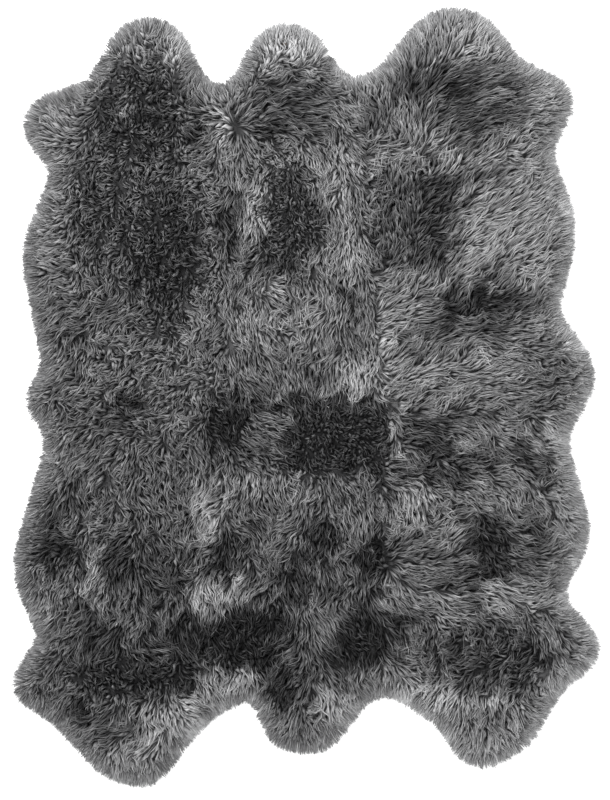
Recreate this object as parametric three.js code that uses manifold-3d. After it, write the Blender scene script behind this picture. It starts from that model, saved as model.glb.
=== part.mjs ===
// Shag rug sewn from six whole sheepskins, lying flat. Millimetres, +Z up, +Y towards the necks.
// Each pelt is one lumpy slab of long wool on its hide, cut straight where it is sewn to its neighbours,
// with pointed locks of wool around the outer rim that lie level on the floor.

import * as THREE from "three";
import Module from "manifold-3d";

const wasm = await Module();
wasm.setup();

// Wool
const PILE_HEIGHT = 46;
const RIM_HEIGHT = 7;
const RIM_ROLL = 58;
const LUMP_HEIGHT = 7;
const LUMP_BEND = 26;
const LUMP_BEND_PITCH = 290;

// Seams between pelts
const SEAM_GAP = 0.3;
const SEAM_DIP = 9;
const SEAM_ROLL = 32;
const CROSS_SEAM_Y = -12;
const WEST_SEAM_X = -213;
const EAST_SEAM_X = 176;

// Faces of a slab: rows close behind each edge, then even cells
const EDGE_ROWS = [0, 9, 24, 46];
const CELL = 32;
const RIM_STEP = 8;

// Locks of wool along the rim
const LOCK_PITCH = 35;
const LOCK_CLEAR_OF_SEAM = 40;
const LOCK_SWAY = 7;
const LOCK_REACH_SPREAD = 0.22;
const LOCK_SECTIONS = [
  { along: -19, width: 20, height: 12 },
  { along: 1, width: 19, height: 13 },
  { along: 11, width: 11, height: 8 },
  { along: 18, width: 2.5, height: 2.5 },
];

// Lumps of the pile: three crossing swells, each bending from side to side
const LUMP_SWELLS = [
  { heading: 0.3, pitch: 104, phase: 0.4 },
  { heading: 1.5, pitch: 83, phase: 2.1 },
  { heading: 2.5, pitch: 129, phase: 4.4 },
];

// The rim, anticlockwise from the east: lobes are arcs of positive radius and bays of negative radius,
// joined by their common tangents. A corner is the share of its arc at which two sides of a pelt meet.
const RIM = [
  { name: "east hip", x: 562, y: 50, r: 101, corner: 0.12 },
  { name: "waist", x: 630, y: 212, r: -51 },
  { name: "flank", x: 356, y: 385, r: 260 },
  { name: "armpit", x: 613, y: 572, r: -48 },
  { name: "north-east shoulder", x: 557, y: 690, r: 56, corner: 0.5 },
  { name: "nape", x: 530, y: 830, r: -60 },
  { name: "neck", x: 347, y: 788, r: 114 },
  { name: "north-east bay", x: 122, y: 815, r: -75, corner: 0.5 },
  { name: "neck", x: -46, y: 779, r: 87 },
  { name: "north-west bay", x: -203, y: 777, r: -55, corner: 0.5 },
  { name: "neck", x: -368, y: 789, r: 91 },
  { name: "nape", x: -532, y: 766, r: -43 },
  { name: "north-west shoulder", x: -583, y: 636, r: 67, corner: 0.45 },
  { name: "armpit", x: -626, y: 528, r: -41 },
  { name: "flank", x: -450, y: 325, r: 200 },
  { name: "waist", x: -658, y: 82, r: -50 },
  { name: "west hip", x: -622, y: -3, r: 26, corner: 0.5 },
  { name: "waist", x: -650, y: -103, r: -52 },
  { name: "flank", x: -471, y: -390, r: 200 },
  { name: "groin", x: -657, y: -555, r: -40 },
  { name: "south-west leg", x: -631, y: -669, r: 46, corner: 0.5 },
  { name: "hock", x: -627, y: -792, r: -60 },
  { name: "rump", x: -443, y: -830, r: 50 },
  { name: "tail", x: -380, y: -862, r: 40 },
  { name: "thigh", x: -107, y: -887, r: -190 },
  { name: "south-west bay", x: -135, y: -720, r: -24, corner: 0.3 },
  { name: "rump", x: -40, y: -772, r: 43 },
  { name: "tail", x: 20, y: -763, r: 56 },
  { name: "south-east bay", x: 186, y: -766, r: -80, corner: 0.55 },
  { name: "thigh", x: 305, y: -785, r: -27 },
  { name: "tail", x: 412, y: -790, r: 65 },
  { name: "rump", x: 480, y: -765, r: 50 },
  { name: "hock", x: 630, y: -706, r: -50 },
  { name: "south-east leg", x: 628, y: -585, r: 49, corner: 0.25 },
  { name: "groin", x: 640, y: -455, r: -47 },
  { name: "flank", x: 500, y: -303, r: 150 },
  { name: "waist", x: 646, y: -98, r: -47 },
];

// Direction of travel on the tangent from one arc to the next
function tangentHeading(from, to) {
  const straight = Math.atan2(to.y - from.y, to.x - from.x);
  return straight + Math.asin((from.r - to.r) / Math.hypot(to.x - from.x, to.y - from.y));
}

// The rim as one closed path, and how far along it each corner lies
function drawRim() {
  const path = new THREE.Path();
  const corners = {};
  RIM.forEach((arc, i) => {
    const arriving = tangentHeading(RIM.at(i - 1), arc);
    const leaving = tangentHeading(arc, RIM[(i + 1) % RIM.length]);
    const outward = arc.r > 0 ? -Math.PI / 2 : Math.PI / 2;
    path.absarc(arc.x, arc.y, Math.abs(arc.r), arriving + outward, leaving + outward, arc.r < 0);
    if (arc.corner !== undefined) {
      corners[arc.name] = path.getLength() - path.curves.at(-1).getLength() * (1 - arc.corner);
    }
  });
  path.closePath();
  return { path, corners, length: path.getLength() };
}

const rim = drawRim();

function rimPoint(distance) {
  return rim.path.getPoint(THREE.MathUtils.euclideanModulo(distance / rim.length, 1));
}

// How far it is along the rim from one corner to the next, anticlockwise
function rimSpan(from, to) {
  return THREE.MathUtils.euclideanModulo(rim.corners[to] - rim.corners[from], rim.length);
}

// Sides of a pelt: a stretch of the rim between two named corners, or a straight seam between two points
function rimSide(from, to) {
  return (t) => rimPoint(rim.corners[from] + t * rimSpan(from, to));
}

function seamSide(from, to) {
  return (t) => from.clone().lerp(to, t);
}

function reversed(side) {
  return (t) => side(1 - t);
}

const corner = Object.fromEntries(
  Object.entries(rim.corners).map(([name, distance]) => [name, rimPoint(distance)]),
);
const westCross = new THREE.Vector2(WEST_SEAM_X, CROSS_SEAM_Y);
const eastCross = new THREE.Vector2(EAST_SEAM_X, CROSS_SEAM_Y);

const seam = {
  northWest: [corner["north-west bay"], westCross],
  northEast: [corner["north-east bay"], eastCross],
  southWest: [westCross, corner["south-west bay"]],
  southEast: [eastCross, corner["south-east bay"]],
  west: [corner["west hip"], westCross],
  middle: [westCross, eastCross],
  east: [eastCross, corner["east hip"]],
};

// The six pelts. Northern and southern sides run eastwards, western and eastern sides run southwards.
// The stretch of rim between a pelt's outermost seams carries its locks.
const PELTS = [
  {
    name: "pelt_upper_left",
    colour: 0x535353,
    locked: ["north-west bay", "west hip"],
    north: reversed(rimSide("north-west bay", "north-west shoulder")),
    west: rimSide("north-west shoulder", "west hip"),
    south: seamSide(...seam.west),
    east: seamSide(...seam.northWest),
    sewn: { south: true, east: true },
  },
  {
    name: "pelt_upper_centre",
    colour: 0x5c5c5c,
    locked: ["north-east bay", "north-west bay"],
    north: reversed(rimSide("north-east bay", "north-west bay")),
    west: seamSide(...seam.northWest),
    south: seamSide(...seam.middle),
    east: seamSide(...seam.northEast),
    sewn: { west: true, south: true, east: true },
  },
  {
    name: "pelt_upper_right",
    colour: 0x636364,
    locked: ["east hip", "north-east bay"],
    north: reversed(rimSide("north-east shoulder", "north-east bay")),
    west: seamSide(...seam.northEast),
    south: seamSide(...seam.east),
    east: reversed(rimSide("east hip", "north-east shoulder")),
    sewn: { west: true, south: true },
  },
  {
    name: "pelt_lower_left",
    colour: 0x595959,
    locked: ["west hip", "south-west bay"],
    north: seamSide(...seam.west),
    west: rimSide("west hip", "south-west leg"),
    south: rimSide("south-west leg", "south-west bay"),
    east: seamSide(...seam.southWest),
    sewn: { north: true, east: true },
  },
  {
    name: "pelt_lower_centre",
    colour: 0x545454,
    locked: ["south-west bay", "south-east bay"],
    north: seamSide(...seam.middle),
    west: seamSide(...seam.southWest),
    south: rimSide("south-west bay", "south-east bay"),
    east: seamSide(...seam.southEast),
    sewn: { north: true, west: true, east: true },
  },
  {
    name: "pelt_lower_right",
    colour: 0x5f5f60,
    locked: ["south-east bay", "east hip"],
    north: seamSide(...seam.east),
    west: seamSide(...seam.southEast),
    south: rimSide("south-east bay", "south-east leg"),
    east: reversed(rimSide("south-east leg", "east hip")),
    sewn: { north: true, west: true },
  },
];

// Straight pieces that distances to the rim and to the seams are measured from
function line(from, to) {
  return new THREE.Line3(new THREE.Vector3(from.x, from.y, 0), new THREE.Vector3(to.x, to.y, 0));
}

const rimPoints = rim.path.getSpacedPoints(Math.round(rim.length / RIM_STEP));
const rimLines = rimPoints.slice(1).map((point, i) => line(rimPoints[i], point));
const seamLines = Object.values(seam).map(([from, to]) => line(from, to));

function distanceTo(lines, point) {
  const nearest = new THREE.Vector3();
  return Math.min(...lines.map((l) => l.closestPointToPoint(point, true, nearest).distanceTo(point)));
}

// Height of the wool: a round roll up from the rim, a dip over each seam, and the lumps of the pile
function woolHeight(point) {
  const inFromRim = Math.min(distanceTo(rimLines, point) / RIM_ROLL, 1);
  const roll = Math.sqrt(1 - (1 - inFromRim) ** 2);
  const dip = 1 - THREE.MathUtils.smoothstep(distanceTo(seamLines, point), 0, SEAM_ROLL);
  const swells = LUMP_SWELLS.map(({ heading, pitch, phase }) => {
    const along = point.x * Math.cos(heading) + point.y * Math.sin(heading);
    const across = point.y * Math.cos(heading) - point.x * Math.sin(heading);
    const bend = LUMP_BEND * Math.sin((2 * Math.PI * across) / LUMP_BEND_PITCH + phase);
    return Math.sin((2 * Math.PI * (along + bend)) / pitch + phase);
  });
  const lump = swells.reduce((sum, swell) => sum + swell, 0) / LUMP_SWELLS.length;
  return RIM_HEIGHT + roll * (PILE_HEIGHT - RIM_HEIGHT + LUMP_HEIGHT * lump - SEAM_DIP * dip);
}

// Shares of a side at which its rows of faces stand
function stations(length) {
  const lead = EDGE_ROWS.map((inset) => inset / length);
  const first = lead.at(-1);
  const cells = Math.round((length * (1 - 2 * first)) / CELL);
  const even = Array.from({ length: cells - 1 }, (_, i) => first + ((1 - 2 * first) * (i + 1)) / cells);
  return [...lead, ...even, ...lead.map((t) => 1 - t).reverse()];
}

// A point inside a pelt, blended from its four sides so that every side is met exactly
function blendSides({ north, south, west, east }, u, v) {
  const blended = north(u).multiplyScalar(1 - v).addScaledVector(south(u), v);
  blended.addScaledVector(west(v), 1 - u).addScaledVector(east(v), u);
  blended.addScaledVector(north(0), -(1 - u) * (1 - v)).addScaledVector(north(1), -u * (1 - v));
  return blended.addScaledVector(south(0), -(1 - u) * v).addScaledVector(south(1), -u * v);
}

// The slab of a pelt: its lumpy top, a flat underside and the walls between
function slabGeometry(pelt) {
  const across = stations(pelt.west(0.5).distanceTo(pelt.east(0.5)));
  const down = stations(pelt.north(0.5).distanceTo(pelt.south(0.5)));
  const columns = across.length;
  const rows = down.length;
  const back = SEAM_GAP / 2;
  const top = down.flatMap((v) =>
    across.map((u) => {
      const plan = blendSides(pelt, u, v);
      const point = new THREE.Vector3(plan.x, plan.y, 0);
      point.z = woolHeight(point);
      if (pelt.sewn.west && u === 0) point.x += back;
      if (pelt.sewn.east && u === 1) point.x -= back;
      if (pelt.sewn.north && v === 0) point.y -= back;
      if (pelt.sewn.south && v === 1) point.y += back;
      return point;
    }),
  );
  const at = (column, row) => row * columns + column;
  const faces = [];
  for (let row = 0; row + 1 < rows; row += 1) {
    for (let column = 0; column + 1 < columns; column += 1) {
      const southWest = at(column, row + 1);
      const northEast = at(column + 1, row);
      faces.push(southWest, at(column + 1, row + 1), northEast, southWest, northEast, at(column, row));
    }
  }
  const edge = [];
  for (let row = 0; row + 1 < rows; row += 1) edge.push(at(0, row));
  for (let column = 0; column + 1 < columns; column += 1) edge.push(at(column, rows - 1));
  for (let row = rows - 1; row > 0; row -= 1) edge.push(at(columns - 1, row));
  for (let column = columns - 1; column > 0; column -= 1) edge.push(at(column, 0));
  const underside = edge.map((i) => new THREE.Vector3(top[i].x, top[i].y, 0));
  edge.forEach((upper, i) => {
    const next = (i + 1) % edge.length;
    const lower = top.length + i;
    const nextLower = top.length + next;
    faces.push(lower, nextLower, edge[next], lower, edge[next], upper);
  });
  const outline = underside.map(({ x, y }) => new THREE.Vector2(x, y));
  for (const [a, b, c] of THREE.ShapeUtils.triangulateShape(outline, [])) {
    faces.push(top.length + c, top.length + b, top.length + a);
  }
  return new THREE.BufferGeometry().setFromPoints([...top, ...underside]).setIndex(faces);
}

// A repeatable spread of values from -1 to 1
function spread(seed) {
  return 2 * THREE.MathUtils.seededRandom(Math.round(seed)) - 1;
}

// A three-sided lock of wool with its flat side on the floor, from its root in the slab to its tip
function lockGeometry(distance) {
  const root = rimPoint(distance);
  const ahead = rimPoint(distance + RIM_STEP).sub(rimPoint(distance - RIM_STEP)).normalize();
  const outward = new THREE.Vector2(ahead.y, -ahead.x);
  const reach = 1 + LOCK_REACH_SPREAD * spread(distance);
  const sway = LOCK_SWAY * spread(distance + RIM_STEP);
  const tip = LOCK_SECTIONS.at(-1).along;
  const points = LOCK_SECTIONS.flatMap(({ along, width, height }) => {
    const bend = sway * (Math.max(along, 0) / tip) ** 2;
    const middle = root.clone().addScaledVector(outward, along * reach).addScaledVector(ahead, bend);
    const left = middle.clone().addScaledVector(ahead, width / 2);
    const right = middle.clone().addScaledVector(ahead, -width / 2);
    return [
      new THREE.Vector3(left.x, left.y, 0),
      new THREE.Vector3(middle.x, middle.y, height),
      new THREE.Vector3(right.x, right.y, 0),
    ];
  });
  const sides = 3;
  const last = points.length - sides;
  const faces = [0, 2, 1, last, last + 1, last + 2];
  for (let ring = 0; ring < last; ring += sides) {
    for (let side = 0; side < sides; side += 1) {
      const a = ring + side;
      const b = ring + ((side + 1) % sides);
      faces.push(a, b, a + sides, b, b + sides, a + sides);
    }
  }
  return new THREE.BufferGeometry().setFromPoints(points).setIndex(faces);
}

// Locks along a stretch of rim, evenly spaced and clear of the seams at its ends
function locksAlong(from, to) {
  const span = rimSpan(from, to) - 2 * LOCK_CLEAR_OF_SEAM;
  const count = Math.round(span / LOCK_PITCH) + 1;
  const start = rim.corners[from] + LOCK_CLEAR_OF_SEAM;
  return Array.from({ length: count }, (_, i) => lockGeometry(start + (span * i) / (count - 1)));
}

function solidOf(geometry) {
  const vertProperties = geometry.getAttribute("position").array;
  const triVerts = Uint32Array.from(geometry.getIndex().array);
  return new wasm.Manifold(new wasm.Mesh({ numProp: 3, vertProperties, triVerts }));
}

function geometryOf(solid) {
  const { vertProperties, triVerts } = solid.getMesh();
  const geometry = new THREE.BufferGeometry();
  geometry.setAttribute("position", new THREE.BufferAttribute(vertProperties, 3));
  geometry.setIndex(new THREE.BufferAttribute(triVerts, 1));
  geometry.computeVertexNormals();
  return geometry;
}

// One pelt: its slab with its locks fused on
function makePelt(pelt) {
  const locks = locksAlong(...pelt.locked).map(solidOf);
  const solid = locks.reduce((joined, lock) => joined.add(lock), solidOf(slabGeometry(pelt)));
  const wool = new THREE.MeshStandardMaterial({ color: pelt.colour, roughness: 0.95, metalness: 0 });
  const mesh = new THREE.Mesh(geometryOf(solid), wool);
  mesh.name = pelt.name;
  return mesh;
}

const rug = new THREE.Group();
rug.name = "shag_rug";
rug.add(...PELTS.map(makePelt));

// The origin is on the floor below the middle of the rug
const middle = new THREE.Box3().setFromObject(rug).getCenter(new THREE.Vector3());
rug.position.set(-middle.x, -middle.y, 0);

export default rug;
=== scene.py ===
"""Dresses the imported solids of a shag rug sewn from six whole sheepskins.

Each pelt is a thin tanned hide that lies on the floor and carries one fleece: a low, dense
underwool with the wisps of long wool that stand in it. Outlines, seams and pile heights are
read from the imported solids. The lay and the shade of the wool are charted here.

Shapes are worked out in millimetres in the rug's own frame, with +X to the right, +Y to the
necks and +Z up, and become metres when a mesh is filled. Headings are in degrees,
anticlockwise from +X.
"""

import logging
from collections.abc import Callable, Sequence
from dataclasses import dataclass, field
from enum import Enum, IntEnum

import bpy
import numpy as np
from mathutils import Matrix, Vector
from numpy.typing import NDArray


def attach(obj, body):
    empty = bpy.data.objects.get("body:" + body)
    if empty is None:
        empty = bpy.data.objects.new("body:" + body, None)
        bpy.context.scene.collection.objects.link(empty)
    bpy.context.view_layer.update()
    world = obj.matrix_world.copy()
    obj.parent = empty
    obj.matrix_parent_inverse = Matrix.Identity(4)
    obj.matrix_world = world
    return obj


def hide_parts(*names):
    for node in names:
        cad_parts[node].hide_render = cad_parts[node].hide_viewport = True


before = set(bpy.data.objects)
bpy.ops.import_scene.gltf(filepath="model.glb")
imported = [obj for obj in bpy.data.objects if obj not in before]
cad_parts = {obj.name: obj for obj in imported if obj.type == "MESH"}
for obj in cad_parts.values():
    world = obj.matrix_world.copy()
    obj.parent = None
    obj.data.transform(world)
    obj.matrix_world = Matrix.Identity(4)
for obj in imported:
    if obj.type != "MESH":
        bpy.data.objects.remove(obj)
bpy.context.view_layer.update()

Array = NDArray[np.float64]
Whole = NDArray[np.int64]
Flags = NDArray[np.bool_]
Pair = tuple[float, float]
log = logging.getLogger("shag_rug")

METRES = 0.001
TINY = 1e-6
WHITE = (1.0, 1.0, 1.0, 1.0)
WOOL_MAP = "OFBake"
UNDERSIDE_ON_MAP = 0.1


class Lay(Enum):
    """How the wool of a tress is turned."""

    COMBED = "every wisp takes the tress's heading"
    FANNED = "wisps radiate from the tress's middle, turned by its heading"


class Edge(Enum):
    """How a tress ends."""

    SOFT = "it fades into its neighbours"
    CUT = "it ends along straight lines, as a sewn-in piece does"


class Stream(IntEnum):
    """The random streams of one fleece, as steps from its seed."""

    LOCKS = 0
    UNDERWOOL = 1
    EDDIES = 2
    SWAY = 3
    FRAY_X = 4
    FRAY_Y = 5
    TUFTS = 6
    PRESS = 7
    CLOUDS = 8
    FLECKS = 9


@dataclass(frozen=True)
class Tress:
    """One stretch of wool that lies one way.

    x and y are its middle, wide and high its half sizes, heading the way its tips point, lie
    its lean from 0, on end, to 1, flat, shade its tone from 0, charcoal, to 1, silver, and
    ruffle the degrees by which its locks stray. The shade is partly the wool's own tone and
    partly painted light and shade: paler where the wool lies flat and catches the light, darker
    where it stands on end and shows the shade in the depth of the pile.
    """

    x: float
    y: float
    wide: float
    high: float
    heading: float
    lie: float
    shade: float
    ruffle: float = 20.0
    lay: Lay = Lay.COMBED
    edge: Edge = Edge.SOFT

    @classmethod
    def ground(cls, heading: float, lie: float, shade: float, ruffle: float) -> "Tress":
        """The wool between the other tresses, whose place and size count for nothing."""
        return cls(0.0, 0.0, 1.0, 1.0, heading, lie, shade, ruffle)


@dataclass(frozen=True)
class ShadePatch:
    """A lighter or darker patch of the wool's tone, partly its own and partly painted light and shade:
    its middle, half sizes and change of shade.
    """

    x: float
    y: float
    wide: float
    high: float
    shade: float


@dataclass(frozen=True)
class Coat:
    """What a chart says at each of many points: the unit heading, the lie and the looks."""

    ahead: Array
    lie: Array
    ruffle: Array
    shade: Array


@dataclass(frozen=True)
class Chart:
    """The tresses of one pelt and the ground that shows where none of them is near."""

    ground: Tress
    tresses: Sequence[Tress]
    shade_patches: Sequence[ShadePatch]

    GROUND_WEIGHT = 0.08
    SOFT_FALL = 2.0
    CUT_WEIGHT = 5.0
    CUT_FALL = 0.7
    CUT_POWER = 12
    CUT_REACH = 3.0
    LEAST_LIE = 0.3
    ACCORD_LIE = 0.9

    def each(self, name: str) -> NDArray:
        """One field of the ground and of every tress, in order."""
        return np.array([getattr(tress, name) for tress in (self.ground, *self.tresses)])

    def weights(self, points: Array) -> tuple[Array, Array]:
        """Gives each tress its say at each point.

        A soft tress weighs exp(-fall r2), r2 being the squared distance in half sizes. A cut
        one weighs exp(-fall (|dx|^power + |dy|^power)) times its weight, which is level inside
        and 0 outside.

        Args:
            points: Plan points, one a row.

        Returns:
            The weights, ground first and one column a tress, and each heading in radians.
        """
        middle = np.stack([self.each("x"), self.each("y")], 1)
        half = np.stack([self.each("wide"), self.each("high")], 1)
        away = points[:, None, :] - middle
        steps = np.abs(away / half)
        soft = np.exp(-self.SOFT_FALL * (steps**2).sum(-1))
        held = np.minimum(steps, self.CUT_REACH)
        cut = self.CUT_WEIGHT * np.exp(-self.CUT_FALL * (held**self.CUT_POWER).sum(-1))
        weight = np.where(self.each("edge") == Edge.CUT, cut, soft)
        weight[:, 0] = self.GROUND_WEIGHT
        heading = np.radians(self.each("heading"))
        ray = np.arctan2(away[..., 1], away[..., 0]) + heading
        turned = np.where(self.each("lay") == Lay.FANNED, ray, heading)
        return weight / weight.sum(1, keepdims=True), turned

    def at(self, points: Array) -> Coat:
        """Blends the tresses at each point, headings as vectors.

        Where headings disagree the wool stands up: the blended lie shrinks with the length of
        the blended vector.

        Args:
            points: Plan points, one a row.

        Returns:
            The blended heading, lie, ruffle and shade.
        """
        weight, heading = self.weights(points)
        pull = np.stack([(weight * np.cos(heading)).sum(1), (weight * np.sin(heading)).sum(1)], 1)
        accord = np.maximum(np.linalg.norm(pull, axis=1), TINY)
        flat = np.minimum(1.0, self.LEAST_LIE + self.ACCORD_LIE * accord)
        lie = weight @ self.each("lie") * flat
        ruffle = weight @ self.each("ruffle")
        # The shade is the charted tone, partly painted light and shade, with the lighter and darker
        # patches added.
        shade = weight @ self.each("shade") + self.patched_shade(points)
        return Coat(pull / accord[:, None], lie, ruffle, shade)

    def patched_shade(self, points: Array) -> Array:
        """Sums the lighter and darker patches at each point, partly painted light and shade, each
        weighing exp(-r2), r2 as for a soft tress.

        Args:
            points: Plan points, one a row.

        Returns:
            The change of shade at each.
        """
        middle = np.array([(d.x, d.y) for d in self.shade_patches])
        half = np.array([(d.wide, d.high) for d in self.shade_patches])
        steps = (points[:, None, :] - middle) / half
        return np.exp(-(steps**2).sum(-1)) @ np.array([d.shade for d in self.shade_patches])


@dataclass(frozen=True)
class Drift:
    """Smooth seeded noise of unit spread: plane waves that cross at random.

    rate is the least and the greatest number of waves in one pitch.
    """

    pitch: float
    seed: int
    waves: int = 22
    rate: Pair = (0.65, 1.5)

    def at(self, points: Array) -> Array:
        """Sums the waves, sin(k p + phase), at each point.

        Args:
            points: Plan points, one a row.

        Returns:
            One value a point.
        """
        rng = np.random.default_rng(self.seed)
        heading = rng.uniform(0.0, 2.0 * np.pi, self.waves)
        number = 2.0 * np.pi / self.pitch * rng.uniform(*self.rate, self.waves)
        phase = rng.uniform(0.0, 2.0 * np.pi, self.waves)
        turns = points @ (number * np.stack([np.cos(heading), np.sin(heading)]))
        return np.sin(turns + phase).sum(1) * np.sqrt(2.0 / self.waves)


@dataclass(frozen=True)
class Lattice:
    """Values kept at the points of a square lattice and blended between them."""

    low: Array
    pitch: float
    values: Array

    BATCHES = 40
    LAST_CELL = 1.001

    @classmethod
    def of(cls, box: Array, pitch: float, rule: Callable[[Array], Array]) -> "Lattice":
        """Works out a rule's values over a box.

        Args:
            box: Lowest and highest plan corner.
            pitch: Distance between lattice points.
            rule: Takes plan points and gives one row of values for each.

        Returns:
            The lattice.
        """
        across, along = (np.arange(a, b + pitch, pitch) for a, b in box.T)
        points = np.stack(np.meshgrid(across, along), -1).reshape(-1, 2)
        values = np.concatenate([rule(p) for p in np.array_split(points, cls.BATCHES)])
        return cls(box[0], pitch, values.reshape(len(along), len(across), -1))

    def blurred(self, reach: float) -> "Lattice":
        """Weighs the values along both axes by exp(-d2 / 2 reach2).

        Args:
            reach: Distance over which values run into one another.

        Returns:
            The blurred lattice.
        """
        counts = self.values.shape[:2]
        steps = [np.subtract.outer(np.arange(n), np.arange(n)) * self.pitch / reach for n in counts]
        bells = [np.exp(-0.5 * step**2) for step in steps]
        along, across = (bell / bell.sum(1, keepdims=True) for bell in bells)
        return Lattice(self.low, self.pitch, np.einsum("ij,jkc,lk->ilc", along, self.values, across))

    def at(self, points: Array) -> Array:
        """Blends the four lattice values round each point, by their nearness on both axes.

        A point beyond the lattice takes the values at its border.

        Args:
            points: Plan points, one a row.

        Returns:
            One row of values a point.
        """
        top = np.array(self.values.shape[1::-1]) - self.LAST_CELL
        place = np.clip((points - self.low) / self.pitch, 0.0, top)
        cell = place.astype(np.int64)
        right, up = (place - cell).T[:, :, None]
        x, y = cell.T
        below = self.values[y, x] * (1 - right) + self.values[y, x + 1] * right
        above = self.values[y + 1, x] * (1 - right) + self.values[y + 1, x + 1] * right
        return below * (1 - up) + above * up


def smooth_step(value: Array, start: float, end: float) -> Array:
    """Rises from 0 at start to 1 at end as 3 t2 - 2 t3."""
    t = np.clip((value - start) / (end - start), 0.0, 1.0)
    return t * t * (3.0 - 2.0 * t)


def segment_gaps(points: Array, segments: Array) -> Array:
    """Distance from each point to the nearest segment.

    The foot of a point on a segment is its projection, held between the two ends.

    Args:
        points: Plan points, one a row.
        segments: Pairs of end points.

    Returns:
        One distance a point.
    """
    start, run = segments[:, 0], segments[:, 1] - segments[:, 0]
    away = points[:, None, :] - start
    share = np.clip((away * run).sum(-1) / (run * run).sum(-1), 0.0, 1.0)
    return np.linalg.norm(away - share[..., None] * run, axis=-1).min(1)


@dataclass
class Patch:
    """A mesh in the making: points, the corners of its faces in a row, and their map places."""

    points: Array
    corners: Whole
    sizes: Whole
    places: Array

    def joined(self, other: "Patch") -> "Patch":
        """Puts another patch behind this one, its corners counted on from here.

        Args:
            other: The patch to add.

        Returns:
            Both as one patch.
        """
        return Patch(
            np.concatenate([self.points, other.points]),
            np.concatenate([self.corners, other.corners + len(self.points)]),
            np.concatenate([self.sizes, other.sizes]),
            np.concatenate([self.places, other.places]),
        )

    def triangles(self) -> int:
        """Number of triangles in the faces."""
        return int((self.sizes - 2).sum())

    def filled(self, name: str, finish: bpy.types.Material) -> bpy.types.Object:
        """Fills a mesh object, in metres at the origin, and gives it its finish.

        Args:
            name: Name of the piece.
            finish: Its material.

        Returns:
            The object, linked to the scene.
        """
        mesh = bpy.data.meshes.new(name)
        mesh.vertices.add(len(self.points))
        mesh.vertices.foreach_set("co", (self.points * METRES).astype(np.float32).ravel())
        mesh.loops.add(len(self.corners))
        mesh.loops.foreach_set("vertex_index", self.corners.astype(np.int32))
        mesh.polygons.add(len(self.sizes))
        starts = np.concatenate([[0], np.cumsum(self.sizes)[:-1]])
        mesh.polygons.foreach_set("loop_start", starts.astype(np.int32))
        mesh.polygons.foreach_set("use_smooth", np.ones(len(self.sizes), bool))
        wool_map = mesh.uv_layers.new(name=WOOL_MAP)
        wool_map.uv.foreach_set("vector", self.places.astype(np.float32).ravel())
        mesh.materials.append(finish)
        mesh.update(calc_edges=True)
        piece = bpy.data.objects.new(name, mesh)
        bpy.context.scene.collection.objects.link(piece)
        return piece


def slab(plan: Array, top: Array, bottom: Array) -> Patch:
    """Closes a plan grid into a slab with a top, an underside and a wall round its edge.

    On its map the grid is spread over a square, and the underside is moved a little aside.

    Args:
        plan: Grid of plan points, rows towards +Y and columns towards +X.
        top: Heights of the upper face.
        bottom: Heights of the lower face.

    Returns:
        The closed patch, faces outwards.
    """
    rows, columns = top.shape
    drop = rows * columns
    over = np.arange(drop).reshape(rows, columns)
    under = over + drop
    upper = np.stack([over[:-1, :-1], over[:-1, 1:], over[1:, 1:], over[1:, :-1]], -1)
    lower = np.stack([under[:-1, :-1], under[1:, :-1], under[1:, 1:], under[:-1, 1:]], -1)
    edge = np.concatenate([over[0], over[1:, -1], over[-1, -2::-1], over[-2:0:-1, 0]])
    after = np.roll(edge, -1)
    wall = np.stack([edge + drop, after + drop, after, edge], -1)
    faces = np.concatenate([f.reshape(-1, 4) for f in (upper, lower, wall)])
    flat = plan.reshape(-1, 2)
    points = np.concatenate([np.c_[flat, top.ravel()], np.c_[flat, bottom.ravel()]])
    across, along = (np.linspace(0.0, 1.0 - UNDERSIDE_ON_MAP, n) for n in (columns, rows))
    spread = np.stack(np.meshgrid(across, along), -1).reshape(-1, 2)
    places = np.concatenate([spread, spread + UNDERSIDE_ON_MAP])
    return Patch(points, faces.ravel(), np.full(len(faces), 4), places[faces.ravel()])


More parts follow.
